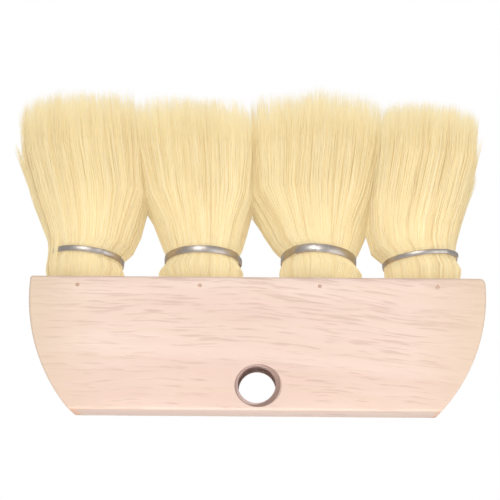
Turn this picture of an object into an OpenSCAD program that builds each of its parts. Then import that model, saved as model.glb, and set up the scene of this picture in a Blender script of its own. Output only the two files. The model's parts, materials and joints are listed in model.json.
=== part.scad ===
// Four-knot block brush. A hardwood block with rounded ends carries four bound knots of
// stiff plant fibre in blind sockets, and a threaded hole for a screw-in handle.
// Frame: the origin is the centre of the block's bottom face, +Z points to the fibre tips,
// and -Y is the face that the handle screws in from.

/* [Block] */
// Length of the block
block_l = 190.5; // [188:0.5:230]
// Thickness of the block, front to back
block_t = 44.5; // [44:0.5:60]
// Height of the block
block_h = 55.5; // [52:0.5:70]
// Radius of the rounded ends
end_r = 72; // [64:0.5:80]
// Height of the centre of the rounded ends
end_z = 46.5; // [40:0.5:50]
// Chamfer along the bottom edges and around the ends
edge_ease = 1.5; // [0.5:0.1:2.5]
// Chamfer along the top edges
top_ease = 0.8; // [0.3:0.1:1.5]

/* [Handle hole] */
// Radius inside the crests of the handle thread
hole_r = 7.9; // [7:0.1:9]
// Radius of the countersunk mouths
hole_mouth_r = 9.5; // [9.2:0.1:10.5]
// Height of the hole's axis above the bottom face
hole_z = 11; // [11:0.5:13]

/* [Knots] */
// Place of each knot along the block
knot_x = [-74, -23.5, 25.5, 70]; // [-76:0.5:76]
// Angle by which each knot leans back, away from the handle's side
lean_back = [12, 13, 17, 9]; // [8:0.5:17]
// Sideways tilt of each bound butt, positive towards +X
butt_tilt = [6.5, -0.5, 2, -7]; // [-7:0.5:7]
// Sideways tilt of each knot's free fibre, positive towards +X
fibre_tilt = [-7.3, -5.2, -2.3, 7.4]; // [-9:0.1:9]
// Distance from the block to the tips of each knot
tip_h = [79, 77, 81.5, 75.5]; // [70:0.5:110]
// Radius of each knot where it has spread out to meet its neighbours
spread_r = [24.5, 23.5, 25.5, 20.5]; // [19:0.5:27]
// Distance from the block to that height
spread_h = 38; // [34:1:45]
// Radius of each knot near its tips
tip_r = [25.5, 24.5, 28, 21.5]; // [20:0.5:30]
// Height of the rounded trim at the tips
tip_dome = 4; // [3:1:20]
// Place of the faces between neighbouring knots, at the height of the pivots
face_x = [-45.7, -2.4, 46.9]; // [-50:0.1:50]
// Sideways drift of those faces for each millimetre towards the tips
face_drift = [-0.14, -0.02, 0.12]; // [-0.2:0.01:0.2]
// Gap between neighbouring knots
knot_gap = 1.2; // [1:0.1:2]

/* [Sockets] */
// Radius of a socket at its mouth
socket_r = 15.8; // [15:0.1:16]
// Radius of a socket at its bottom
socket_bottom_r = 13.5; // [12.5:0.1:14]
// Depth of a socket
socket_depth = 23; // [20:0.5:24]
// Thickness of the setting cement
cement_t = 0.6; // [0.4:0.1:1]

/* [Bands] */
// Radius of the fibre inside a band
waist_r = 15.4; // [14.8:0.1:15.6]
// Thickness of the steel strap
band_t = 0.6; // [0.4:0.1:0.8]
// Width of each knot's steel strap
band_w = [2.6, 3.2, 3.8, 2.2]; // [2:0.1:4]
// Distance from the block to the middle of a band
band_h = 9.5; // [9.5:0.1:11]
// Length of the overlap at the strap's ends, in degrees of turn
lap_turn = 32; // [15:1:60]
// Direction of the overlap around each knot
lap_dir = [150, 184, 60, 95]; // [0:1:360]

/* [Nails] */
// Place of each retaining nail along the block
nail_x = [-75, -24, 26, 75]; // [-77:0.5:77]
// Height of the nails
nail_z = 51.8; // [50:0.1:52]
// Radius of a nail's shank
nail_r = 0.6; // [0.5:0.05:0.9]
// Length of a nail
nail_l = 18; // [15:0.5:22]
// Radius of a nail's head
nail_head_r = 1; // [0.95:0.05:1.6]
// Thickness of a nail's head
nail_head_t = 0.6; // [0.4:0.1:0.8]

/* [Hidden] */
$fn = 96;

// Clearance left between pieces that touch
slip = 0.05;
// Depth by which a cutting shape overshoots what it cuts
over = 1;
// Distance from the middle of the block to the centre of an end's round
end_x = block_l / 2 - end_r;
// Distance from the block to the pivot of a knot's flexing fibre
pivot_h = 23;
// Radius of the round lower end of the flexing fibre
ball_r = 15.2;
// Radius of the seat that it turns in
seat_r = ball_r + 0.3;
// Distance from the block to the rim of a bound butt
rim_h = 14.5;
// Distance from the block to the top of the part of a butt that stays inside the socket
throat_h = 4.9;
// Radius of the widest bulge of a butt, between the block and the band
bulge_r = 16.8;
// Distance from the block to that bulge
bulge_h = 6.5;
// Radius of the flexing fibre level with its pivot
flare_r = 16.9;
// Distance above the pivot at which the flare starts
flare_start = 1;
// Thickness of cement under a butt
cement_floor = 1.5;
// Distance that a strap's overlapping end is narrower than the strap, at each edge
lap_step = 0.2;
// Number of steps in the flare above a band
flare_steps = 4;
// Number of steps in the round of the tips
dome_steps = 8;
// Radius of the shapes that part neighbouring knots
part_r = 140;

// Growth of a socket's radius for each millimetre towards its mouth
function socket_taper() = (socket_r - socket_bottom_r) / socket_depth;
// Radius of a socket at a distance h along its axis, zero at the mouth
function socket_r_at(h) = socket_r + h * socket_taper();
// Radius of a butt at the same distance
function butt_r_at(h) = socket_r_at(h) - cement_t;
// Point on a knot's axis about which its free fibre flexes
function pivot(i) = [
    knot_x[i] + pivot_h * sin(butt_tilt[i]),
    pivot_h * cos(butt_tilt[i]) * sin(lean_back[i]),
    block_h + pivot_h * cos(butt_tilt[i]) * cos(lean_back[i])
];

// Frame of a knot's butt: the origin is the middle of the socket's mouth, +Z the knot's axis
module butt_frame(i) {
    translate([knot_x[i], 0, block_h]) rotate([-lean_back[i], 0, 0])
        rotate([0, butt_tilt[i], 0]) children();
}

// Frame of a knot's free fibre: the origin is the pivot, +Z the fibre's direction
module fibre_frame(i) {
    translate(pivot(i)) rotate([-lean_back[i], 0, 0]) rotate([0, fibre_tilt[i], 0]) children();
}

// A disc along Z with both rims chamfered
module eased_disc(r, t, ease) {
    rotate_extrude() polygon([
        [0, -t / 2], [r - ease, -t / 2], [r, ease - t / 2],
        [r, t / 2 - ease], [r - ease, t / 2], [0, t / 2]
    ]);
}

// A slab as long as the block, with its four long edges chamfered
module eased_slab() {
    y = block_t / 2;
    rotate([90, 0, 90]) linear_extrude(height = block_l + 2 * over, center = true) polygon([
        [-y, edge_ease], [edge_ease - y, 0], [y - edge_ease, 0], [y, edge_ease],
        [y, block_h - top_ease], [y - top_ease, block_h],
        [top_ease - y, block_h], [-y, block_h - top_ease]
    ]);
}

// The block before it is drilled
module block_blank() {
    intersection() {
        eased_slab();
        translate([0, 0, end_z]) rotate([90, 0, 0]) union() {
            for (side = [-1, 1]) translate([side * end_x, 0, 0]) eased_disc(end_r, block_t, edge_ease);
            cube([2 * end_x, 2 * end_r, block_t], center = true);
        }
    }
}

// A tapered plug that fills a socket, or the butt in it when inset is the cement's thickness
module socket_plug(i, top_h, inset, floor_t) {
    bottom = floor_t - socket_depth;
    butt_frame(i) translate([0, 0, bottom])
        cylinder(h = top_h - bottom, r1 = socket_r_at(bottom) - inset, r2 = socket_r_at(top_h) - inset);
}

// The handle's hole: a bore at the thread's crests, with countersunk mouths
module handle_bore() {
    sink = hole_mouth_r - hole_r;
    translate([0, 0, hole_z]) rotate([90, 0, 0]) {
        cylinder(h = block_t + 2 * over, r = hole_r, center = true);
        for (side = [-1, 1]) rotate([90 - 90 * side, 0, 0]) translate([0, 0, block_t / 2 - sink])
            cylinder(h = sink + over, r1 = hole_r, r2 = hole_mouth_r + over);
    }
}

// One nail, grown by a clearance when it is used to drill
module nail(i, grow) {
    translate([nail_x[i], -block_t / 2, nail_z]) rotate([-90, 0, 0]) {
        cylinder(h = nail_l + grow, r = nail_r + grow);
        cylinder(h = nail_head_t + grow, r = nail_head_r + grow);
    }
}

module block() {
    color("bisque") difference() {
        block_blank();
        handle_bore();
        for (i = [0:3]) {
            socket_plug(i, 2 * throat_h, 0, 0);
            nail(i, slip);
        }
    }
}

module retaining_nails() {
    color("dimgray") for (i = [0:3]) nail(i, 0);
}

// The cement between a butt and its socket, up to just below the block's top
module setting_cement(i) {
    color("peru") difference() {
        socket_plug(i, throat_h, slip, slip);
        socket_plug(i, 2 * throat_h, cement_t, cement_floor);
        translate([-block_l / 2, -block_t, block_h - top_ease]) cube([block_l, 2 * block_t, block_h]);
        nail(i, slip);
    }
}

// The bound root of a knot, from the bottom of its socket to the seat of its free fibre
module knot_butt(i) {
    bottom = cement_floor + slip - socket_depth;
    half_w = band_w[i] / 2;
    color("khaki") difference() {
        butt_frame(i) difference() {
            rotate_extrude() polygon([
                [0, bottom], [butt_r_at(bottom) - slip, bottom],
                [butt_r_at(throat_h) - slip, throat_h], [bulge_r, bulge_h],
                [waist_r, band_h - half_w - slip], [waist_r, band_h + half_w + slip],
                [waist_r + 0.3, rim_h], [0, rim_h]
            ]);
            translate([0, 0, pivot_h]) sphere(r = seat_r);
        }
        nail(i, slip);
    }
}

// Outline of a knot's free fibre from its pivot to its tips: it flares quickly above the
// band, then runs nearly straight to a rounded trim
function fibre_outline(i) = let (length = tip_h[i] - pivot_h, spread = spread_h - pivot_h) concat(
    [[0, flare_start]],
    [for (k = [0:flare_steps]) let (turn = 90 * k / flare_steps)
        [flare_r + (spread_r[i] - flare_r) * sin(turn), flare_start + (spread - flare_start) * k / flare_steps]],
    [for (k = [0:dome_steps - 1]) let (turn = 90 * k / dome_steps)
        [tip_r[i] * cos(turn), length - tip_dome * (1 - sin(turn))]],
    [[0, length]]
);

// The room between a knot's two neighbours. It is round about the pivots' line, so that
// a knot can flex past the next one without touching it.
module knot_room(i) {
    middle = pivot(i);
    low = i > 0 ? face_x[i - 1] + knot_gap / 2 : -block_l;
    high = i < 3 ? face_x[i] - knot_gap / 2 : block_l;
    low_drift = i > 0 ? face_drift[i - 1] * part_r : 0;
    high_drift = i < 3 ? face_drift[i] * part_r : 0;
    translate([0, middle[1], middle[2]]) rotate([0, 90, 0]) rotate_extrude() polygon([
        [0, low], [part_r, low + low_drift], [part_r, high + high_drift], [0, high]
    ]);
}

// The free fibre of a knot: a flared bundle whose round lower end turns in the butt
module knot_bristles(i) {
    color("lemonchiffon") intersection() {
        fibre_frame(i) union() {
            sphere(r = ball_r);
            rotate_extrude() polygon(fibre_outline(i));
        }
        knot_room(i);
    }
}

// A steel strap around a knot, with its ends overlapped
module band(i) {
    inner = waist_r + slip;
    outer = inner + band_t;
    width = band_w[i];
    color("silver") butt_frame(i) translate([0, 0, band_h - width / 2]) {
        difference() {
            cylinder(h = width, r = outer);
            translate([0, 0, -over]) cylinder(h = width + 2 * over, r = inner);
        }
        rotate([0, 0, lap_dir[i]]) rotate_extrude(angle = lap_turn)
            translate([outer - band_t / 2, lap_step]) square([1.5 * band_t, width - 2 * lap_step]);
    }
}

block();
retaining_nails();
knot_butt(0);  // knot_1_butt
knot_butt(1);  // knot_2_butt
knot_butt(2);  // knot_3_butt
knot_butt(3);  // knot_4_butt
knot_bristles(0);  // knot_1_bristles
knot_bristles(1);  // knot_2_bristles
knot_bristles(2);  // knot_3_bristles
knot_bristles(3);  // knot_4_bristles
band(0);  // band_1
band(1);  // band_2
band(2);  // band_3
band(3);  // band_4
setting_cement(0);  // setting_cement_1
setting_cement(1);  // setting_cement_2
setting_cement(2);  // setting_cement_3
setting_cement(3);  // setting_cement_4
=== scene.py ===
"""Looks of a four-knot block brush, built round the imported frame.

The script's unit is the metre; values named in millimetres are turned into metres by MM.
A knot's own height runs along its lean, from the block's top face towards the tips.
"""

import json
import math

import bmesh
import bpy
import numpy as np
from mathutils import Matrix, Vector


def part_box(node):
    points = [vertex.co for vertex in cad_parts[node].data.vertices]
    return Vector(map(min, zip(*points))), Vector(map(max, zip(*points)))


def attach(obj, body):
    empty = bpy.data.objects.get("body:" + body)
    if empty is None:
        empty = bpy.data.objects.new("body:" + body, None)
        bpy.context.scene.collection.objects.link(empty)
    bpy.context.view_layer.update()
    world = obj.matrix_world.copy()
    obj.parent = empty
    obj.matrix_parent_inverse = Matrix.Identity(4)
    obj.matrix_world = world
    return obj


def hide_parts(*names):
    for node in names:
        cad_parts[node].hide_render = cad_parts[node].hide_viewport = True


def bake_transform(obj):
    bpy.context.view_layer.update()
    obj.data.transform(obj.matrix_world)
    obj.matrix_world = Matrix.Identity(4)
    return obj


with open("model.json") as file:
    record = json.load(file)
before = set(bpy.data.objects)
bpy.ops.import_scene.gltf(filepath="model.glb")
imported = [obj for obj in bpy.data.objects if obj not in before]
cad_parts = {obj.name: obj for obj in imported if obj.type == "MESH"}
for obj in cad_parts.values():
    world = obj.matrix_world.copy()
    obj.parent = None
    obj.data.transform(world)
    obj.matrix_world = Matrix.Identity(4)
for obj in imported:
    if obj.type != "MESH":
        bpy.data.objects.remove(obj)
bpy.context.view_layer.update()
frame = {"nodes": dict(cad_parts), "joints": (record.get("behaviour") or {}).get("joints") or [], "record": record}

MM = 0.001
GOLDEN_ANGLE = math.pi * (3 - math.sqrt(5))
MAIN_BODY = "brush_block"
KNOT_NUMBERS = (1, 2, 3, 4)

# ---------------------------------------------------------------- the frame, as it was packed

BLOCK_LOW, BLOCK_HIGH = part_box("block")
MOUNTS = {mount["name"]: mount for mount in frame["record"]["mounts"]}
JOINTS = {joint["name"]: joint for joint in frame["joints"]}


def node_points(name):
    """The vertices of a CAD node, as rows of x, y, z."""
    return np.array([v.co for v in frame["nodes"][name].data.vertices])


class Knot:
    """Where one knot stands: its pivot, the middle of its socket's mouth, its lean and tilt."""

    def __init__(self, number):
        self.number = number
        self.body = f"knot_{number}"
        self.pivot = Vector(JOINTS[f"knot_{number}_flex"]["pos_m"])
        ring = node_points(f"band_{number}")
        middle = ring.mean(axis=0)
        # the ring is alike above and below its own plane, so it is thinnest along its axis
        self.axis = Vector(np.linalg.svd(ring - middle)[2][2])
        if self.axis.z < 0:
            self.axis.negate()
        rise = (self.pivot - Vector(middle)).dot(self.axis)
        self.band_centre = self.pivot - self.axis * rise
        drop = (self.pivot.z - BLOCK_HIGH.z) / self.axis.z
        self.mouth = self.pivot - self.axis * drop
        self.lean = math.atan2(self.axis.y, self.axis.z)
        self.tilt = math.asin(self.axis.x)
        self.up = Vector((0, math.sin(self.lean), math.cos(self.lean)))
        self.back = Vector((0, math.cos(self.lean), -math.sin(self.lean)))
        self.pivot_height = (self.pivot - self.mouth).dot(self.up)

    def at(self, height):
        """The point on the knot's middle line at a height."""
        return self.mouth + self.up * height


# ---------------------------------------------------------------- small helpers


def new_object(name, vertices, faces, smooth=True):
    """A mesh object from rows of vertices and equal or mixed faces."""
    mesh = bpy.data.meshes.new(name)
    mesh.from_pydata([tuple(v) for v in vertices], [], [tuple(f) for f in faces])
    mesh.validate()
    mesh.polygons.foreach_set("use_smooth", [smooth] * len(mesh.polygons))
    obj = bpy.data.objects.new(name, mesh)
    bpy.context.scene.collection.objects.link(obj)
    return obj


def lathe_faces(rings, sides, close_ends=True):
    """Quads between rings of points, with a cap at each end."""
    faces = []
    for ring in range(rings - 1):
        for side in range(sides):
            a = ring * sides + side
            b = ring * sides + (side + 1) % sides
            faces.append((a, b, b + sides, a + sides))
    if close_ends:
        faces.append(tuple(reversed(range(sides))))
        faces.append(tuple(range((rings - 1) * sides, rings * sides)))
    return faces


def lathe(name, profile, place, sides=64):
    """A solid turned about local Z from (radius, height) pairs, then put in place."""
    vertices = []
    for radius, height in profile:
        for side in range(sides):
            turn = 2 * math.pi * side / sides
            point = Vector((radius * math.cos(turn), radius * math.sin(turn), height))
            vertices.append(place @ point)
    return new_object(name, vertices, lathe_faces(len(profile), sides))


def place_along(origin, direction):
    """A matrix that puts local Z along direction, with its origin at origin."""
    turn = Vector(direction).to_track_quat("Z", "Y").to_matrix().to_4x4()
    return Matrix.Translation(origin) @ turn


def cut(obj, tools):
    """Cuts the tools out of obj, applies the result and removes the tools."""
    for tool in tools:
        modifier = obj.modifiers.new("cut", "BOOLEAN")
        modifier.operation = "DIFFERENCE"
        modifier.solver = "EXACT"
        modifier.object = tool
    graph = bpy.context.evaluated_depsgraph_get()
    result = bpy.data.meshes.new_from_object(obj.evaluated_get(graph))
    obj.modifiers.clear()
    obj.data = result
    # closes the hairline slits that the cuts leave where two surfaces nearly touch
    bm = bmesh.new()
    bm.from_mesh(result)
    bmesh.ops.remove_doubles(bm, verts=bm.verts, dist=0.002 * MM)
    bmesh.ops.dissolve_degenerate(bm, edges=bm.edges, dist=0.001 * MM)
    bm.to_mesh(result)
    bm.free()
    for tool in tools:
        bpy.data.objects.remove(tool)


def smooth_by_angle(obj, degrees, flat_area=math.inf):
    """Smooth shading, with creases sharper than the angle kept and wide faces left flat."""
    mesh = obj.data
    mesh.polygons.foreach_set("use_smooth", [face.area < flat_area for face in mesh.polygons])
    mesh.set_sharp_from_angle(angle=math.radians(degrees))


def dress(obj, material):
    """Gives a piece its only material."""
    obj.data.materials.clear()
    obj.data.materials.append(material)


# ---------------------------------------------------------------- material building


class Shader:
    """A node material under construction."""

    def __init__(self, name):
        self.material = bpy.data.materials.new(name)
        self.material.use_nodes = True
        self.nodes = self.material.node_tree.nodes
        self.links = self.material.node_tree.links
        self.surface = self.nodes["Principled BSDF"]
        self.output = self.nodes["Material Output"]

    def add(self, kind, inputs=None, **settings):
        """A node with its settings, whose inputs are values or other nodes' sockets."""
        made = self.nodes.new(kind)
        for key, value in settings.items():
            setattr(made, key, value)
        for key, value in (inputs or {}).items():
            self.feed(made.inputs[key], value)
        return made

    def feed(self, socket, value):
        """Sets an input, or links it when the value is a socket."""
        if isinstance(value, bpy.types.NodeSocket):
            self.links.new(value, socket)
        else:
            socket.default_value = value

    def stretched(self, scale, rotation=(0, 0, 0), source=None):
        """Object coordinates scaled per axis."""
        if source is None:
            source = self.add("ShaderNodeTexCoord").outputs["Object"]
        mapping = self.add("ShaderNodeMapping", {"Vector": source, "Rotation": rotation, "Scale": scale})
        return mapping.outputs["Vector"]

    def noise(self, vector, scale=1.0, detail=3.0, roughness=0.5, distortion=0.0):
        inputs = {
            "Vector": vector, "Scale": scale, "Detail": detail,
            "Roughness": roughness, "Distortion": distortion,
        }
        return self.add("ShaderNodeTexNoise", inputs).outputs["Fac"]

    def ramp(self, value, *stops):
        """Remaps a value through (position, colour or grey) stops."""
        made = self.add("ShaderNodeValToRGB", {"Fac": value})
        points = made.color_ramp.elements
        while len(points) < len(stops):
            points.new(0.5)
        for point, (position, colour) in zip(points, stops):
            point.position = position
            point.color = tuple(colour) + (1,) if isinstance(colour, tuple) else (colour,) * 3 + (1,)
        return made.outputs["Color"]

    def mix(self, factor, first, second, blend="MIX"):
        """Mixes two colours."""
        made = self.add("ShaderNodeMix", data_type="RGBA", blend_type=blend)
        self.feed(made.inputs[0], factor)
        for socket, value in ((made.inputs[6], first), (made.inputs[7], second)):
            self.feed(socket, tuple(value) + (1,) if isinstance(value, tuple) else value)
        return made.outputs[2]

    def maths(self, operation, *values):
        made = self.add("ShaderNodeMath", operation=operation)
        for socket, value in zip(made.inputs, values):
            self.feed(socket, value)
        return made.outputs[0]

    def bump(self, height, strength, distance):
        inputs = {"Height": height, "Strength": strength, "Distance": distance}
        return self.add("ShaderNodeBump", inputs).outputs["Normal"]

    def set_surface(self, **inputs):
        """Sets inputs of the principled surface, with _ for a space in their names."""
        for key, value in inputs.items():
            socket = self.surface.inputs[key.replace("_", " ")]
            self.feed(socket, tuple(value) + (1,) if isinstance(value, tuple) else value)


# ---------------------------------------------------------------- materials

WOOD_PINK = (0.74, 0.55, 0.47)
WOOD_PALE = (0.79, 0.62, 0.53)
WOOD_TAN = (0.69, 0.53, 0.39)
WOOD_FLECK = (0.50, 0.33, 0.26)
# Painted shade for the handle hole: darkest at its mouths, lighter further in
BORE_MOUTH_SHADE = (0.33, 0.22, 0.185)
BORE_DEEP_SHADE = (0.74, 0.58, 0.53)


def wood_material():
    """Pale pinkish hardwood: fine dark flecks along the grain, a pale figure, toned ends."""
    s = Shader("pale_hardwood")
    centre_z = (BLOCK_LOW.z + BLOCK_HIGH.z) / 2
    place = s.add("ShaderNodeTexCoord").outputs["Object"]
    wander = s.noise(s.stretched((14, 14, 14), source=place), detail=2.0)
    shifted = s.add("ShaderNodeVectorMath", {0: place, 1: (0, 0, 0)}, operation="ADD")
    # the grain runs level on the left and slopes down towards +X on the right
    right = s.maths("MAXIMUM", s.add("ShaderNodeSeparateXYZ", {0: place}).outputs["X"], 0.0)
    drift = s.maths("ADD", s.maths("MULTIPLY", wander, 0.010), s.maths("MULTIPLY", right, 0.09))
    lift = s.add("ShaderNodeCombineXYZ", {"Z": drift})
    s.feed(shifted.inputs[1], lift.outputs[0])
    warped = shifted.outputs[0]
    slope = (0, math.radians(-0.8), 0)

    broad = s.noise(s.stretched((9, 22, 60), slope, warped), detail=3.0)
    colour = s.mix(s.ramp(broad, (0.35, 0.0), (0.65, 1.0)), WOOD_PINK, WOOD_PALE)
    streak = s.noise(s.stretched((16, 90, 420), slope, warped), detail=5.0, roughness=0.6)
    colour = s.mix(s.ramp(streak, (0.40, 0.0), (0.75, 0.40)), colour, WOOD_TAN)

    # short flecks, denser in the upper half
    height = s.add("ShaderNodeSeparateXYZ", {0: warped}).outputs["Z"]
    upper = s.maths("MULTIPLY", s.maths("SUBTRACT", height, centre_z * 0.75), 1.6)
    fleck = s.noise(s.stretched((78, 200, 1200), slope, warped), detail=1.5)
    fleck = s.maths("ADD", fleck, upper)
    fleck_mask = s.ramp(fleck, (0.56, 0.0), (0.71, 1.0))
    faint = s.maths("MULTIPLY", fleck_mask, 0.38)
    colour = s.mix(faint, colour, WOOD_FLECK)

    # the pale figure that crosses the face a little above its middle
    figure = s.maths("SUBTRACT", height, centre_z * 1.03)
    figure = s.maths("ABSOLUTE", figure)
    figure = s.ramp(s.maths("MULTIPLY", figure, 260), (0.25, 1.0), (0.95, 0.0))
    figure = s.maths("MULTIPLY", figure, 0.55)
    colour = s.mix(figure, colour, WOOD_PALE)

    # both ends are a little browner
    along_x = s.add("ShaderNodeSeparateXYZ", {0: place}).outputs["X"]
    end_share = s.maths("DIVIDE", s.maths("ABSOLUTE", along_x), BLOCK_HIGH.x)
    colour = s.mix(s.ramp(end_share, (0.68, 0.0), (1.0, 0.8)), colour, WOOD_TAN)

    # painted shade: the hole's walls are coloured darker for the shade inside it, darkest within MOUTH_DEPTH of
    # either face
    hole_x, _, hole_z = MOUNTS["handle_hole"]["pos_m"]
    apart = s.add("ShaderNodeSeparateXYZ", {0: place})
    off_x = s.maths("SUBTRACT", apart.outputs["X"], hole_x)
    off_z = s.maths("SUBTRACT", apart.outputs["Z"], hole_z)
    far = s.maths("SQRT", s.maths("ADD", s.maths("POWER", off_x, 2), s.maths("POWER", off_z, 2)))
    in_bore = s.maths("LESS_THAN", far, MOUTH_RADIUS + 0.05 * MM)
    off_y = s.maths("ABSOLUTE", apart.outputs["Y"])
    under = s.maths("LESS_THAN", off_y, BLOCK_HIGH.y - 0.1 * MM)
    deep = s.maths("LESS_THAN", off_y, BLOCK_HIGH.y - MOUTH_DEPTH)
    bore = s.mix(deep, BORE_MOUTH_SHADE, BORE_DEEP_SHADE)
    colour = s.mix(s.maths("MULTIPLY", s.maths("MULTIPLY", in_bore, under), 0.85), colour, bore)

    pores = s.noise(s.stretched((320, 900, 4200), slope, warped), detail=2.0)
    grain_height = s.maths("SUBTRACT", s.maths("MULTIPLY", pores, 0.35), fleck_mask)
    rough = s.maths("ADD", s.maths("MULTIPLY", streak, 0.18), 0.50)
    s.set_surface(
        Base_Color=colour, Roughness=rough, Specular_IOR_Level=0.28,
        Normal=s.bump(grain_height, 0.20, 0.0002),
    )
    return s.material


FIBRE_DARK = (0.62, 0.50, 0.30)
FIBRE_STRAW = (0.79, 0.70, 0.48)
FIBRE_CREAM = (0.84, 0.77, 0.56)
FIBRE_GLOW = (0.80, 0.72, 0.50)
# Share of shadow rays that pass through fibre
FIBRE_SHADOW_PASS = 0.80
# Strength of the painted glow, light that fibre gives off itself, at shares of its length
FIBRE_PAINTED_GLOW = ((0.15, 0.30), (0.50, 0.22), (0.72, 0.22), (1.0, 0.38))


def fibre_material():
    """Dry plant fibre: each strand has its own tone, with streaks along it and a soft painted glow of its own
    emitted light.
    """
    s = Shader("plant_fibre")
    tone = s.add("ShaderNodeAttribute", attribute_name="tone").outputs["Fac"]
    along = s.add("ShaderNodeAttribute", attribute_name="along").outputs["Fac"]
    streak = s.noise(s.stretched((900, 900, 60)), detail=3.0)
    varied = s.maths("ADD", tone, s.maths("MULTIPLY", s.maths("SUBTRACT", streak, 0.5), 0.35))
    colour = s.ramp(varied, (0.05, FIBRE_DARK), (0.42, FIBRE_STRAW), (0.85, FIBRE_CREAM))
    s.set_surface(
        Base_Color=colour, Roughness=0.48, Specular_IOR_Level=0.35,
        Normal=s.bump(streak, 0.25, 0.00008),
    )
    glow = s.add("ShaderNodeBsdfTranslucent", {"Color": FIBRE_GLOW + (1,)})
    blend = s.add("ShaderNodeMixShader", {0: 0.40, 1: s.surface.outputs[0], 2: glow.outputs[0]})
    # thin fibre lets most light past, so the inside of a knot isn't dark
    clear = s.add("ShaderNodeBsdfTransparent", {"Color": (1.0, 0.97, 0.88, 1)})
    shadow = s.add("ShaderNodeLightPath").outputs["Is Shadow Ray"]
    passed = s.maths("MULTIPLY", shadow, FIBRE_SHADOW_PASS)
    # painted glow: the fibres give off light of their own, even and of their own colour, standing in for light
    # that wanders among them
    strength = s.ramp(along, *FIBRE_PAINTED_GLOW)
    painted_glow = s.add("ShaderNodeEmission", {"Color": colour, "Strength": strength})
    lit = s.add("ShaderNodeAddShader", {0: blend.outputs[0], 1: painted_glow.outputs[0]})
    whole = s.add("ShaderNodeMixShader", {0: passed, 1: lit.outputs[0], 2: clear.outputs[0]})
    s.feed(s.output.inputs["Surface"], whole.outputs[0])
    return s.material


def steel_material(name, light, dark, roughness, streaks):
    """Bright strip or wire steel with fine drawn lines and light staining."""
    s = Shader(name)
    stain = s.noise(s.stretched((240, 240, 240)), detail=4.0, roughness=0.6)
    lines = s.noise(s.stretched(streaks), detail=2.0)
    colour = s.mix(s.ramp(stain, (0.42, 0.0), (0.72, 0.75)), light, dark)
    rough = s.maths("ADD", s.maths("MULTIPLY", stain, 0.22), roughness)
    s.set_surface(
        Base_Color=colour, Metallic=1.0, Roughness=rough,
        Normal=s.bump(s.maths("ADD", lines, stain), 0.18, 0.00008),
    )
    return s.material


def cement_material():
    """Brown setting resin, glossy where it set and dusty where fibre rubbed it."""
    s = Shader("setting_resin")
    clouds = s.noise(s.stretched((160, 160, 160)), detail=4.0)
    colour = s.ramp(clouds, (0.3, (0.20, 0.11, 0.05)), (0.7, (0.38, 0.25, 0.14)))
    s.set_surface(
        Base_Color=colour, Roughness=s.ramp(clouds, (0.3, 0.3), (0.7, 0.65)),
        Normal=s.bump(clouds, 0.4, 0.0004),
    )
    return s.material


def floor_material():
    """A pale matt floor, seen from above only, that lets the lights below shine through."""
    s = Shader("studio_floor")
    cloud = s.noise(s.stretched((3, 3, 3)), detail=2.0)
    s.set_surface(Base_Color=s.ramp(cloud, (0.3, 0.80), (0.7, 0.83)), Roughness=0.9)
    clear = s.add("ShaderNodeBsdfTransparent")
    below = s.add("ShaderNodeNewGeometry").outputs["Backfacing"]
    shadow = s.add("ShaderNodeLightPath").outputs["Is Shadow Ray"]
    unseen = s.maths("MAXIMUM", below, shadow)
    both = s.add("ShaderNodeMixShader", {0: unseen, 1: s.surface.outputs[0], 2: clear.outputs[0]})
    s.feed(s.output.inputs["Surface"], both.outputs[0])
    return s.material


# ---------------------------------------------------------------- the block

END_RADIUS = 72 * MM
END_HEIGHT = 46.5 * MM
# The right-hand end was sawn a little tighter than the left
ENDS = {"left": (END_RADIUS, END_HEIGHT), "right": (70 * MM, 47.5 * MM)}
# Rounding of the long edges and ends, and of the outline's own corners
EDGE_ROUND = 1.1 * MM
BOTTOM_CORNER = 1.6 * MM
TOP_CORNERS = {"left": 1.2 * MM, "right": 2.4 * MM}
THREAD_PITCH = 5.08 * MM
THREAD_ROOT = 9.7 * MM
THREAD_START = math.radians(-35)
MOUTH_RADIUS = 9.9 * MM
MOUTH_DEPTH = 2.2 * MM
# The front mouth was eased by hand: it is wider than it is high, and a little off centre
MOUTH_FLATNESS = 0.91
MOUTH_SHIFT = Vector((0.6, 0, -0.8)) * MM
SOCKET_MOUTH = 15.8 * MM
SOCKET_BOTTOM = 13.5 * MM
SOCKET_DEPTH = 23 * MM


def corner_arc(inset, radius, top, end):
    """Points of the round between the flat top or bottom and an end's curve."""
    end_radius, end_height = ENDS[end]
    flat = BLOCK_HIGH.z - inset if top else inset
    centre_z = flat - radius if top else flat + radius
    big_x, big_r = BLOCK_HIGH.x - end_radius, end_radius - inset
    centre_x = big_x + math.sqrt((big_r - radius) ** 2 - (centre_z - end_height) ** 2)
    flat_turn = math.pi / 2 if top else -math.pi / 2
    end_turn = math.atan2(centre_z - end_height, centre_x - big_x)
    turns = np.linspace(flat_turn, end_turn, 7)
    points = [(centre_x + radius * math.cos(t), centre_z + radius * math.sin(t)) for t in turns]
    return points, end_turn


def end_outline(inset, end):
    """One end of the block's outline, from the bottom up, moved in by an inset, with X outwards."""
    end_radius, end_height = ENDS[end]
    low_points, low_turn = corner_arc(inset, BOTTOM_CORNER - inset, False, end)
    high_points, high_turn = corner_arc(inset, TOP_CORNERS[end] - inset, True, end)
    centre_x, radius = BLOCK_HIGH.x - end_radius, end_radius - inset
    turns = np.linspace(low_turn, high_turn, 26)[1:-1]
    middle = [(centre_x + radius * math.cos(t), end_height + radius * math.sin(t)) for t in turns]
    return low_points + middle + list(reversed(high_points))


def block_outline(inset):
    """The block's whole outline in X and Z, anticlockwise as seen from the handle's side."""
    right = end_outline(inset, "right")
    left = end_outline(inset, "left")
    return right + [(-x, z) for x, z in reversed(left)]


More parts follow.
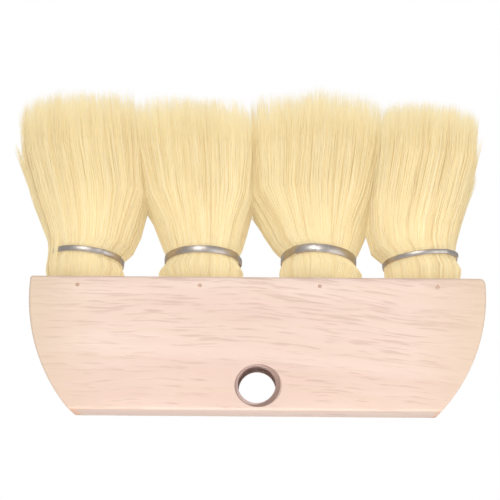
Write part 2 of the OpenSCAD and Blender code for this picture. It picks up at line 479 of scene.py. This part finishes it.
def block_blank():
    """The block before it is drilled: its outline swept front to back, with rounded rims."""
    rounds = [
        (EDGE_ROUND * (1 - math.sin(t)), EDGE_ROUND * (1 - math.cos(t)))
        for t in np.linspace(0, math.pi / 2, 6)
    ]
    front, back = BLOCK_LOW.y, BLOCK_HIGH.y
    rings = [(inset, front + depth) for inset, depth in rounds]
    rings += [(inset, back - depth) for inset, depth in reversed(rounds)]
    vertices = [(x, y, z) for inset, y in rings for x, z in block_outline(inset)]
    sides = len(vertices) // len(rings)
    faces = [tuple(reversed(face)) for face in lathe_faces(len(rings), sides)]
    return new_object("block_body", vertices, faces)


def thread_tool():
    """A tap for the handle hole: a rod whose surface carries one right-hand helical ridge."""
    mount = MOUNTS["handle_hole"]
    crest = mount["dims"]["r_mm"] * MM
    centre = Vector(mount["pos_m"])
    sides, steps_per_pitch = 96, 14
    front = BLOCK_LOW.y
    reach = BLOCK_HIGH.y + 0.5 * MM
    rows = int(2 * reach / THREAD_PITCH * steps_per_pitch)
    vertices = []
    for y in np.linspace(-reach, reach, rows):
        for side in range(sides):
            turn = 2 * math.pi * side / sides
            phase = (y - front) / THREAD_PITCH + (turn - THREAD_START) / (2 * math.pi)
            ridge = min(1.0, max(-1.0, 1.5 * math.cos(2 * math.pi * phase)))
            radius = crest + (THREAD_ROOT - crest) * (1 + ridge) / 2
            vertices.append((
                centre.x + radius * math.cos(turn), y, centre.z + radius * math.sin(turn)
            ))
    return new_object("thread_tool", vertices, [tuple(reversed(f)) for f in lathe_faces(rows, sides)])


def mouth_tool(y, outward):
    """The countersink at one mouth of the handle hole."""
    mount = MOUNTS["handle_hole"]
    centre = Vector((mount["pos_m"][0], y, mount["pos_m"][2]))
    place = place_along(centre, (0, outward, 0))
    if outward < 0:
        flatten = Matrix.Diagonal((1, 1, MOUTH_FLATNESS, 1))
        place = Matrix.Translation(centre + MOUTH_SHIFT) @ flatten @ Matrix.Translation(-centre) @ place
    core = 5 * MM
    profile = [
        (core, -MOUTH_DEPTH), (MOUTH_RADIUS - MOUTH_DEPTH, -MOUTH_DEPTH),
        (MOUTH_RADIUS, 0), (MOUTH_RADIUS, 1 * MM),
    ]
    return lathe("mouth_tool", profile, place, sides=96)


def make_block(material, knots, nails):
    """The hardwood block: eased edges, threaded handle hole, knot sockets and nail holes."""
    block = block_blank()
    tools = [thread_tool(), mouth_tool(BLOCK_LOW.y, -1), mouth_tool(BLOCK_HIGH.y, 1)]
    for knot in knots:
        beyond = 8 * MM
        grow = (SOCKET_MOUTH - SOCKET_BOTTOM) / SOCKET_DEPTH * beyond
        profile = [(SOCKET_BOTTOM, -SOCKET_DEPTH), (SOCKET_MOUTH + grow, beyond)]
        tools.append(lathe("socket_tool", profile, place_along(knot.mouth, knot.axis)))
    for nail in nails:
        tools.append(nail_hole("nail_tool", nail))
    cut(block, tools)
    smooth_by_angle(block, 32, flat_area=1000 * MM * MM)
    dress(block, material)
    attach(block, MAIN_BODY)
    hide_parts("block")
    return block


# ---------------------------------------------------------------- the nails


# Share of the CAD head's radius that the worn heads still have
HEAD_SHARE = 0.64


class Nail:
    """One retaining nail's line: its head's middle on the front face, and its tip."""

    def __init__(self, points):
        low, high = points.min(axis=0), points.max(axis=0)
        self.head = Vector(((low[0] + high[0]) / 2, low[1], (low[2] + high[2]) / 2))
        self.length = float(high[1] - low[1])
        self.head_radius = float(high[0] - low[0]) / 2
        tip = points[points[:, 1] > high[1] - 1e-5]
        self.shank_radius = float(np.abs(tip[:, 0] - self.head.x).max())


def find_nails():
    """The nails in the CAD node, parted by the gaps between them."""
    points = node_points("retaining_nails")
    points = points[np.argsort(points[:, 0])]
    gaps = np.where(np.diff(points[:, 0]) > 5 * MM)[0] + 1
    return [Nail(group) for group in np.split(points, gaps)]


def nail_solid(name, nail):
    """A wire nail: a low domed head set just under the face, a shank and a point."""
    head, shank = nail.head_radius * HEAD_SHARE, nail.shank_radius
    profile = [
        (head * 0.3, 0.02 * MM), (head * 0.75, 0.05 * MM), (head * 0.97, 0.14 * MM),
        (head, 0.24 * MM), (head * 0.97, 0.5 * MM), (shank * 1.2, 0.6 * MM), (shank, 1.0 * MM),
        (shank, nail.length - 2.2 * MM), (shank * 0.5, nail.length - 0.8 * MM),
        (shank * 0.08, nail.length),
    ]
    return lathe(name, profile, place_along(nail.head, (0, 1, 0)), sides=24)


def nail_hole(name, nail):
    """The hole that a nail leaves, with crushed fibre around its head."""
    room = 0.06 * MM
    head, shank = nail.head_radius * HEAD_SHARE + room, nail.shank_radius + room
    profile = [
        (head + 0.3 * MM, -0.25 * MM), (head, 0.2 * MM), (head, 0.6 * MM),
        (shank, 0.7 * MM), (shank, nail.length + room),
    ]
    return lathe(name, profile, place_along(nail.head, (0, 1, 0)), sides=24)


def make_nails(material, nails):
    """The four nails as one piece of four solids."""
    parts = [nail_solid(f"nail_part_{i}", nail) for i, nail in enumerate(nails)]
    joined = bmesh.new()
    for part in parts:
        joined.from_mesh(part.data)
        bpy.data.objects.remove(part)
    data = bpy.data.meshes.new("nails")
    joined.to_mesh(data)
    joined.free()
    nails_piece = bpy.data.objects.new("nails", data)
    bpy.context.scene.collection.objects.link(nails_piece)
    smooth_by_angle(nails_piece, 40)
    dress(nails_piece, material)
    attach(nails_piece, MAIN_BODY)
    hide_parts("retaining_nails")


# ---------------------------------------------------------------- the bands

LAP_START = {1: 150, 2: 184, 3: 60, 4: 95}
LAP_TURN = 32
# How far the lapped end hangs down and stands off, where it has sprung
LAP_DROOP = {1: 0.0, 2: 1.5 * MM, 3: 0.0, 4: 0.0}


def strap_section(width, thickness):
    """Outline of the strap: a thin bar with rounded edges, crowned slightly outwards."""
    half = width / 2
    round_off = thickness * 0.45
    crown = thickness * 0.12
    return [
        (0, -half + round_off), (0, half - round_off), (round_off * 0.3, half - round_off * 0.3),
        (round_off, half), (thickness - round_off * 0.4, half - round_off * 0.2),
        (thickness, half - round_off), (thickness + crown, 0), (thickness, -half + round_off),
        (thickness - round_off * 0.4, -half + round_off * 0.2), (round_off, -half),
        (round_off * 0.3, -half + round_off * 0.3),
    ]


def make_band(knot, material):
    """A steel strap wound once round the knot, its end lapped over its start."""
    name = f"band_{knot.number}"
    points = node_points(name)
    away = points - np.array(knot.band_centre)
    height = away @ np.array(knot.axis)
    width = float(height.max() - height.min())
    radial = np.linalg.norm(away - np.outer(height, knot.axis), axis=1)
    inner = float(radial.min())
    thickness = 0.6 * MM
    place = place_along(knot.band_centre, knot.axis)
    section = strap_section(width, thickness)
    steps = 220
    rng = np.random.default_rng(40 + knot.number)
    wave_phase = rng.uniform(0, 2 * math.pi, 3)
    vertices = []
    for step in range(steps):
        share = step / (steps - 1)
        turn = share * math.radians(360 + LAP_TURN)
        over = min(1.0, max(0.0, (math.degrees(turn) - 345) / 15))
        lift = (thickness * 1.25) * over * over * (3 - 2 * over)
        narrow = 1 - 0.08 * over
        sway = 0.12 * MM * math.sin(turn + wave_phase[0]) + 0.06 * MM * math.sin(3 * turn + wave_phase[1])
        dent = 0.05 * MM * math.sin(5 * turn + wave_phase[2])
        sprung = max(0.0, (math.degrees(turn) - 360 - 0.55 * LAP_TURN) / (0.45 * LAP_TURN)) ** 2
        sway = sway - LAP_DROOP[knot.number] * sprung
        lift = lift + 0.4 * LAP_DROOP[knot.number] * sprung
        angle = turn + math.radians(LAP_START[knot.number])
        for out, along in section:
            radius = inner + 0.03 * MM + out + lift + dent * (1 - over)
            local = Vector((radius * math.cos(angle), radius * math.sin(angle), along * narrow + sway))
            vertices.append(place @ local)
    band = new_object(f"strap_{knot.number}", vertices, lathe_faces(steps, len(section)))
    bm = bmesh.new()
    bm.from_mesh(band.data)
    bmesh.ops.recalc_face_normals(bm, faces=bm.faces)
    bm.to_mesh(band.data)
    bm.free()
    smooth_by_angle(band, 50)
    dress(band, material)
    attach(band, MAIN_BODY)
    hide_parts(name)


# ---------------------------------------------------------------- the knots

FIBRES_PER_PIECE = 4200
FIBRE_RADIUS = 0.2 * MM
CLUMPS_PER_KNOT = 110
FIBRE_SIDES = 3
# Thin darker streaks of a few fibres each: how many, half width in degrees, and how dark
STREAKS_PER_KNOT = 15
STREAK_WIDTH = 0.9
STREAK_TONE = 0.24
# Share of the radius beyond which a fibre counts as one of the knot's outermost
OUTERMOST = 0.955
# The trim: unevenness, a slow wave, and the shares and amounts of short and proud fibres
TRIM_UNEVEN = 0.45 * MM
TRIM_WAVE = 0.7 * MM
SHORT_SHARE, SHORT_BY = 0.06, (1, 5)
PROUD_SHARE, PROUD_BY = 0.02, (0.3, 1.6)
# Share of fibres that stray, and the sideways bow of a fibre
STRAY_SHARE = 0.04
FIBRE_BOW = 0.5 * MM
LAYERS = ("core", "outer")
# Heights of a fibre's lower rings, and places of its upper rings between the last of those and its tip
LOW_RINGS = (-6, 3.6, 7.6, 11.4, 15.5)
HIGH_RINGS = (0.12, 0.32, 0.62, 1.0)

# Heights at which the outlines below are given, in millimetres above the block
OUTLINE_HEIGHTS = (-6, 0, 3.6, 7.6, 11.4, 15, 19, 25, 34, 45, 60, 80)
# Half depth of every knot, front to back, at those heights
HALF_DEPTH = (14.4, 15.2, 16.4, 15.2, 15.2, 16.8, 18.5, 20.8, 23.0, 24.5, 25.5, 26.0)
# Left and right edge of each knot at those heights
OUTLINES = {
    1: ((-88.9, -89.3, -89.9, -88.3, -87.9, -89.0, -90.5, -92.4, -95.4, -98.6, -101.9, -103.4),
        (-60.0, -58.7, -56.4, -57.9, -57.5, -53.8, -51.6, -49.7, -47.6, -49.0, -51.3, -53.2)),
    2: ((-38.0, -38.8, -42.2, -38.8, -38.8, -40.2, -41.5, -43.6, -47.0, -48.9, -51.2, -53.1),
        (-9.1, -8.2, -6.2, -8.4, -8.5, -7.0, -5.9, -4.8, -3.2, -2.2, -3.4, -3.9)),
    3: ((10.9, 10.2, 9.2, 10.5, 10.7, 6.9, 4.4, 1.4, -2.4, -1.8, -3.0, -3.4),
        (39.8, 40.8, 44.2, 41.0, 41.2, 42.9, 44.4, 46.4, 47.9, 49.6, 51.7, 53.0)),
    4: ((56.4, 54.7, 54.2, 53.9, 53.4, 49.0, 46.4, 46.2, 47.6, 50.2, 52.2, 53.4),
        (85.1, 85.3, 86.4, 84.3, 83.8, 84.0, 84.8, 86.1, 88.3, 90.9, 93.0, 94.3)),
}
# Height of the trim in the middle of each knot, and how far it drops at its left and right
TRIM = {1: (78.0, 3.4, 0.6), 2: (76.1, 0.2, 3.4), 3: (80.0, 4.6, 5.2), 4: (73.6, -2.0, 2.8)}
# How much taller a knot stands in the outlines above than the same knot leant back less
LEAN_SCALE = {1: 1.036, 2: 1.027, 3: 1.0, 4: 1.052}
# How square each knot's left and right halves are where it has spread out: 2 is round
SQUARENESS = {1: (2.4, 7.0), 2: (7.0, 7.0), 3: (7.0, 7.0), 4: (7.0, 2.6)}
# Where fibres have escaped the strap: first and last direction in degrees, and how far out
ESCAPED = {1: (172, 224, 1.5 * MM)}
# Tufts that have sprung out of a knot's side: direction in degrees, height of the tip, reach
TUFTS = {1: ((182, 60.5, 3.4),), 4: ((0, 64, 3.0), (2, 48, 2.4))}
# The faces between neighbours: place level with the pivots, and drift for each unit of reach
ROOM_FACES = {(1, 2): (-45.7, -0.14), (2, 3): (-2.4, -0.02), (3, 4): (46.9, 0.12)}
# How far short of that face a fibre's middle line stops. Below zero, neighbouring knots overlap
ROOM_GAP = -0.8 * MM


def unit_disc(count, rng):
    """Evenly spread places in a unit disc, slightly shaken: share of the radius, direction."""
    order = np.arange(count)
    share = np.sqrt((order + 0.5) / count)
    turn = order * GOLDEN_ANGLE + rng.normal(0, 0.15, count)
    share = np.clip(share + rng.normal(0, 0.008, count), 0, 1)
    return share, turn


def outline_at(values, heights, scale=1.0):
    """An outline's value at heights in metres."""
    return np.interp(heights / MM * scale, OUTLINE_HEIGHTS, values) * MM


def rounded_square(turn, power):
    """Radius of a unit shape between a circle (power 2) and a square, in a direction."""
    return (np.abs(np.cos(turn)) ** power + np.abs(np.sin(turn)) ** power) ** (-1 / power)


def keep_in_room(knot, x, height, depth):
    """Holds points on the knot's own side of the faces to its neighbours, short by ROOM_GAP."""
    reach = np.hypot(height - knot.pivot_height, depth)
    for pair, (face, drift) in ROOM_FACES.items():
        edge = face * MM + drift * reach
        if knot.number == pair[0]:
            x = np.minimum(x, edge - ROOM_GAP)
        elif knot.number == pair[1]:
            x = np.maximum(x, edge + ROOM_GAP)
    return x


def push_over_strap(knot, share, turn, x, height, depth, rng):
    """Lets some outer fibres of a knot run outside its strap, over an arc of directions."""
    first, last, push = ESCAPED[knot.number]
    degrees = np.degrees(turn) % 360
    out = (degrees > first) & (degrees < last) & (share > OUTERMOST) & (rng.random(len(turn)) < 0.75)
    near = np.exp(-((height / MM - 9.5) / 4.5) ** 2) * out[:, None]
    grow = 1 + push / (15 * MM) * near
    middle = knot.band_centre.x
    return middle + (x - middle) * grow, depth * grow


def squeeze_into_socket(knot, x, height, depth):
    """Draws fibre in where it is at or below the block's top, so that it enters the socket."""
    above = height * math.cos(knot.lean) - depth * math.sin(knot.lean)
    limit = SOCKET_MOUTH - 0.5 * MM + 2.4 * np.clip(above, 0, None)
    middle = knot.mouth.x + height * math.tan(knot.tilt)
    low = height < 6 * MM
    shrink = np.where(low, np.minimum(1, limit / np.maximum(np.hypot(x - middle, depth), MM)), 1)
    return middle + (x - middle) * shrink, depth * shrink


def fibre_paths(knot, share, turn, rng):
    """Rings of centre points along every fibre, with each fibre's tone and share of its length."""
    count = len(share)
    across, deep = share * np.cos(turn), share * np.sin(turn)

    clump_rng = np.random.default_rng(700 + knot.number)
    clump_share, clump_turn = unit_disc(CLUMPS_PER_KNOT, clump_rng)
    clump_x, clump_y = clump_share * np.cos(clump_turn), clump_share * np.sin(clump_turn)
    clump_shift = clump_rng.normal(0, 0.02, (CLUMPS_PER_KNOT, 2))
    clump_trim = clump_rng.normal(0, TRIM_UNEVEN, CLUMPS_PER_KNOT)
    clump_tone = clump_rng.normal(0, 0.05, CLUMPS_PER_KNOT)
    streak_turns = clump_rng.uniform(0, 360, STREAKS_PER_KNOT)
    distance = np.hypot(across[:, None] - clump_x, deep[:, None] - clump_y)
    clump = distance.argmin(axis=1)
    pull = np.clip(rng.normal(0.12, 0.09, count), 0, 0.5)

    crown, drop_left, drop_right = TRIM[knot.number]
    drop = np.where(across < 0, drop_left, drop_right) * np.abs(across) ** 2
    wave = TRIM_WAVE * np.sin(5.1 * across + 2.3 * knot.number) * np.cos(3.7 * deep - knot.number)
    tip = (crown - drop) * MM + wave + clump_trim[clump] + rng.normal(0, TRIM_UNEVEN, count)
    short = rng.random(count) < SHORT_SHARE
    tip = tip - np.where(short, rng.uniform(*SHORT_BY, count) * MM, 0)
    proud = rng.random(count) < PROUD_SHARE
    tip = tip + np.where(proud, rng.uniform(*PROUD_BY, count) * MM, 0)

    bend = np.zeros(count)
    for direction, height, out in TUFTS.get(knot.number, ()):
        apart = np.abs((np.degrees(turn) - direction + 180) % 360 - 180)
        sprung = (apart < 15) & (share > OUTERMOST) & (rng.random(count) < 0.6)
        tip = np.where(sprung, height * MM + rng.normal(0, 0.9 * MM, count), tip)
        bend = np.where(sprung, out * np.sign(across) * MM, bend)

    start = LOW_RINGS[-1] * MM
    heights = np.concatenate([
        np.repeat(np.array(LOW_RINGS)[None, :] * MM, count, axis=0),
        start + np.array(HIGH_RINGS)[None, :] * (tip - start)[:, None],
    ], axis=1)

    left, right = OUTLINES[knot.number]
    scale = LEAN_SCALE[knot.number]
    left, right = outline_at(left, heights, scale), outline_at(right, heights, scale)
    half_depth = outline_at(HALF_DEPTH, heights)
    spread = np.clip((heights - 11.4 * MM) / (62 * MM), 0, 1)
    fullness = np.clip((heights - 24 * MM) / (26 * MM), 0, 1)
    side = np.where(across < 0, SQUARENESS[knot.number][0], SQUARENESS[knot.number][1])
    power = 2 + (side[:, None] - 2) * fullness
    reach = rounded_square(turn[:, None], power)
    gather = pull[:, None] * spread
    unit_x = reach * (across[:, None] * (1 - gather) + clump_x[clump][:, None] * gather)
    unit_y = reach * (deep[:, None] * (1 - gather) + clump_y[clump][:, None] * gather)
    unit_x = unit_x + clump_shift[clump, 0][:, None] * spread ** 1.5
    unit_y = unit_y + clump_shift[clump, 1][:, None] * spread ** 1.5

    stray = np.where(rng.random(count) < STRAY_SHARE, 2.0, 0.9)
    wild = rng.normal(0, 1, (count, 2)) * stray[:, None] * MM
    bow = rng.normal(0, FIBRE_BOW, (count, 2))
    x = (left + right) / 2 + unit_x * (right - left) / 2
    y = unit_y * half_depth
    arch = np.sin(np.pi * spread)
    if knot.number in ESCAPED:
        x, y = push_over_strap(knot, share, turn, x, heights, y, rng)
    x = keep_in_room(knot, x, heights, y)
    x = x + bend[:, None] * (heights / tip[:, None]) ** 7
    x = x + wild[:, 0][:, None] * spread ** 2 + bow[:, 0][:, None] * arch
    y = y + wild[:, 1][:, None] * spread ** 2 + bow[:, 1][:, None] * arch

    x, y = squeeze_into_socket(knot, x, heights, y)

    # below the flare the bundle follows the tilt of its butt
    fade = 1 - np.clip((heights - 12 * MM) / (30 * MM), 0, 1)
    lifted = heights - math.tan(knot.tilt) * (x - knot.band_centre.x) * fade

    centre = np.array(knot.at(0))
    points = np.empty(heights.shape + (3,))
    points[..., 0] = x
    points[..., 1] = centre[1] + lifted * knot.up.y + y * knot.back.y
    points[..., 2] = centre[2] + lifted * knot.up.z + y * knot.back.z
    tone = 0.5 + clump_tone[clump] + rng.normal(0, 0.08, count)
    from_streak = (np.degrees(turn)[:, None] - streak_turns + 180) % 360 - 180
    streaked = (np.abs(from_streak).min(axis=1) < STREAK_WIDTH) & (share > 0.93)
    tone = np.clip(tone - np.where(streaked, STREAK_TONE, 0), 0, 1)
    along = heights / tip[:, None]
    return points, tone, along


def tube_mesh(name, points, radii, rng):
    """One mesh of thin closed tubes that follow the rows of points."""
    count, rings, _ = points.shape
    direction = np.gradient(points, axis=1)
    direction /= np.linalg.norm(direction, axis=2, keepdims=True)
    first = np.cross(direction, np.array([0.0, 1.0, 0.0]))
    first /= np.linalg.norm(first, axis=2, keepdims=True)
    second = np.cross(direction, first)
    spin = rng.uniform(0, 2 * math.pi, count)
    corners = []
    for side in range(FIBRE_SIDES):
        turn = (spin + 2 * math.pi * side / FIBRE_SIDES)[:, None, None]
        corners.append(points + radii[..., None] * (np.cos(turn) * first + np.sin(turn) * second))
    around = np.stack(corners, axis=2)[:, :-1].reshape(count, -1, 3)
    vertices = np.concatenate([around, points[:, -1:]], axis=1)
    per_fibre = vertices.shape[1]
    vertices = vertices.reshape(-1, 3)

    one = [(2, 1, 0)]
    for ring in range(rings - 2):
        for side in range(FIBRE_SIDES):
            a = ring * FIBRE_SIDES + side
            b = ring * FIBRE_SIDES + (side + 1) % FIBRE_SIDES
            one.append((a, b, b + FIBRE_SIDES))
            one.append((a, b + FIBRE_SIDES, a + FIBRE_SIDES))
    last = (rings - 2) * FIBRE_SIDES
    tip = last + FIBRE_SIDES
    for side in range(FIBRE_SIDES):
        one.append((last + side, last + (side + 1) % FIBRE_SIDES, tip))
    one = np.array(one)
    offsets = np.arange(count) * per_fibre
    faces = (one[None, :, :] + offsets[:, None, None]).reshape(-1, 3)

    mesh = bpy.data.meshes.new(name)
    mesh.vertices.add(len(vertices))
    mesh.vertices.foreach_set("co", vertices.astype(np.float32).ravel())
    mesh.loops.add(faces.size)
    mesh.loops.foreach_set("vertex_index", faces.astype(np.int32).ravel())
    mesh.polygons.add(len(faces))
    mesh.polygons.foreach_set("loop_start", np.arange(0, faces.size, 3, dtype=np.int32))
    mesh.polygons.foreach_set("use_smooth", np.ones(len(faces), dtype=bool))
    mesh.update()
    mesh.validate()
    obj = bpy.data.objects.new(name, mesh)
    bpy.context.scene.collection.objects.link(obj)
    return obj


def add_point_values(obj, name, values):
    """Stores one number per vertex for the materials."""
    attribute = obj.data.attributes.new(name, "FLOAT", "POINT")
    attribute.data.foreach_set("value", values.astype(np.float32).ravel())


def per_vertex(values):
    """Values given for each ring of each fibre, repeated for the vertices of that ring."""
    around = np.repeat(values[:, :-1], FIBRE_SIDES, axis=1)
    return np.concatenate([around, values[:, -1:]], axis=1)


def make_knot(knot, material):
    """All the fibres of one knot, from inside the socket, through the strap, to the tips."""
    rng = np.random.default_rng(100 + knot.number)
    share, turn = unit_disc(FIBRES_PER_PIECE * len(LAYERS), rng)
    inside = share.argsort().argsort() // FIBRES_PER_PIECE
    for layer, layer_name in enumerate(LAYERS):
        chosen = inside == layer
        points, tone, along = fibre_paths(knot, share[chosen], turn[chosen], rng)
        thickness = FIBRE_RADIUS * np.exp(rng.normal(0, 0.15, len(points)))
        radii = thickness[:, None] * (1 - 0.25 * np.clip(along, 0, 1) ** 5)
        fibres = tube_mesh(f"fibres_{knot.number}_{layer_name}", points, radii, rng)
        add_point_values(fibres, "tone", per_vertex(np.repeat(tone[:, None], points.shape[1], axis=1)))
        add_point_values(fibres, "along", per_vertex(along))
        dress(fibres, material)
        knot.at(12 * MM)
        knot.at(60 * MM)
        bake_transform(fibres)
        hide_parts(f"knot_{knot.number}_butt", f"knot_{knot.number}_bristles")


# ---------------------------------------------------------------- the stage

CAMERA_PLACE = Vector((6.5, -1181.5, -76.0)) * MM
CAMERA_PITCH, CAMERA_YAW, CAMERA_ROLL = 7.02, 0.48, -0.47
CAMERA_LENS, CAMERA_SENSOR = 201.6, 36.0


def make_camera():
    """A camera a little below the brush, looking up at its front."""
    data = bpy.data.cameras.new("camera")
    data.lens, data.sensor_width = CAMERA_LENS, CAMERA_SENSOR
    data.clip_start, data.clip_end = 0.01, 50
    camera = bpy.data.objects.new("camera", data)
    turn = (
        Matrix.Rotation(math.radians(CAMERA_YAW), 4, "Z")
        @ Matrix.Rotation(math.radians(CAMERA_PITCH), 4, "X")
        @ Matrix.Rotation(math.radians(CAMERA_ROLL), 4, "Y")
        @ Matrix.Rotation(math.radians(90), 4, "X")
    )
    camera.matrix_world = Matrix.Translation(CAMERA_PLACE) @ turn
    bpy.context.scene.collection.objects.link(camera)
    bpy.context.scene.camera = camera


def make_floor():
    """A wide floor at the block's foot, open under the block so that light reaches its bottom."""
    wide = 4.0
    inset = EDGE_ROUND + 0.5 * MM
    radius, height = ENDS["right"]
    foot_x = BLOCK_HIGH.x - radius + math.sqrt(radius ** 2 - height ** 2) - inset
    foot_y = BLOCK_HIGH.y - inset
    level = -0.2 * MM
    corners = ((-1, -1), (1, -1), (1, 1), (-1, 1))
    vertices = [(sx * wide, sy * wide, level) for sx, sy in corners]
    vertices += [(sx * foot_x, sy * foot_y, level) for sx, sy in corners]
    faces = [(i, (i + 1) % 4, 4 + (i + 1) % 4, 4 + i) for i in range(4)]
    floor = new_object("studio_floor", vertices, faces, smooth=False)
    floor.data.materials.append(floor_material())


def area_light(name, place, target, size, power):
    """A soft square light that faces a point."""
    data = bpy.data.lights.new(name, "AREA")
    data.shape, data.size, data.energy = "SQUARE", size, power
    light = bpy.data.objects.new(name, data)
    light.location = place
    light.rotation_mode = "QUATERNION"
    light.rotation_quaternion = (Vector(target) - Vector(place)).to_track_quat("-Z", "Y")
    light.visible_camera = False
    bpy.context.scene.collection.objects.link(light)


def make_world():
    """White behind the object, and a soft grey-white room for its light."""
    world = bpy.data.worlds.new("studio")
    bpy.context.scene.world = world
    world.use_nodes = True
    nodes, links = world.node_tree.nodes, world.node_tree.links
    room = nodes["Background"]
    room.inputs["Color"].default_value = (0.95, 0.97, 1.0, 1)
    room.inputs["Strength"].default_value = 0.5
    white = nodes.new("ShaderNodeBackground")
    white.inputs["Color"].default_value = (1, 1, 1, 1)
    white.inputs["Strength"].default_value = 1.0
    path = nodes.new("ShaderNodeLightPath")
    both = nodes.new("ShaderNodeMixShader")
    links.new(path.outputs["Is Camera Ray"], both.inputs[0])
    links.new(room.outputs[0], both.inputs[1])
    links.new(white.outputs[0], both.inputs[2])
    links.new(both.outputs[0], nodes["World Output"].inputs["Surface"])


def make_lights():
    """A soft key from the upper left front, fills from the right and from below, one behind."""
    middle = (0, 0, 0.08)
    area_light("key", (-0.18, -0.85, 0.72), middle, 0.40, 3.6)
    area_light("fill", (0.8, -0.6, 0.2), middle, 0.8, 2.5)
    area_light("low_fill", (0.0, -0.50, -0.80), middle, 0.7, 7.5)
    area_light("rear", (0.1, 0.7, 0.8), middle, 0.7, 4)


# ---------------------------------------------------------------- build

bpy.context.scene.view_settings.view_transform = "Standard"
knots = [Knot(number) for number in KNOT_NUMBERS]
nails = find_nails()

wood = wood_material()
fibre = fibre_material()
strap_steel = steel_material("strap_steel", (0.56, 0.51, 0.47), (0.42, 0.36, 0.31), 0.27, (60, 60, 2500))
nail_steel = steel_material("nail_steel", (0.74, 0.52, 0.40), (0.50, 0.32, 0.23), 0.5, (900, 90, 900))
resin = cement_material()

make_block(wood, knots, nails)
make_nails(nail_steel, nails)
for knot in knots:
    make_band(knot, strap_steel)
    make_knot(knot, fibre)
    dress(frame["nodes"][f"setting_cement_{knot.number}"], resin)

make_camera()
make_floor()
make_world()
make_lights()
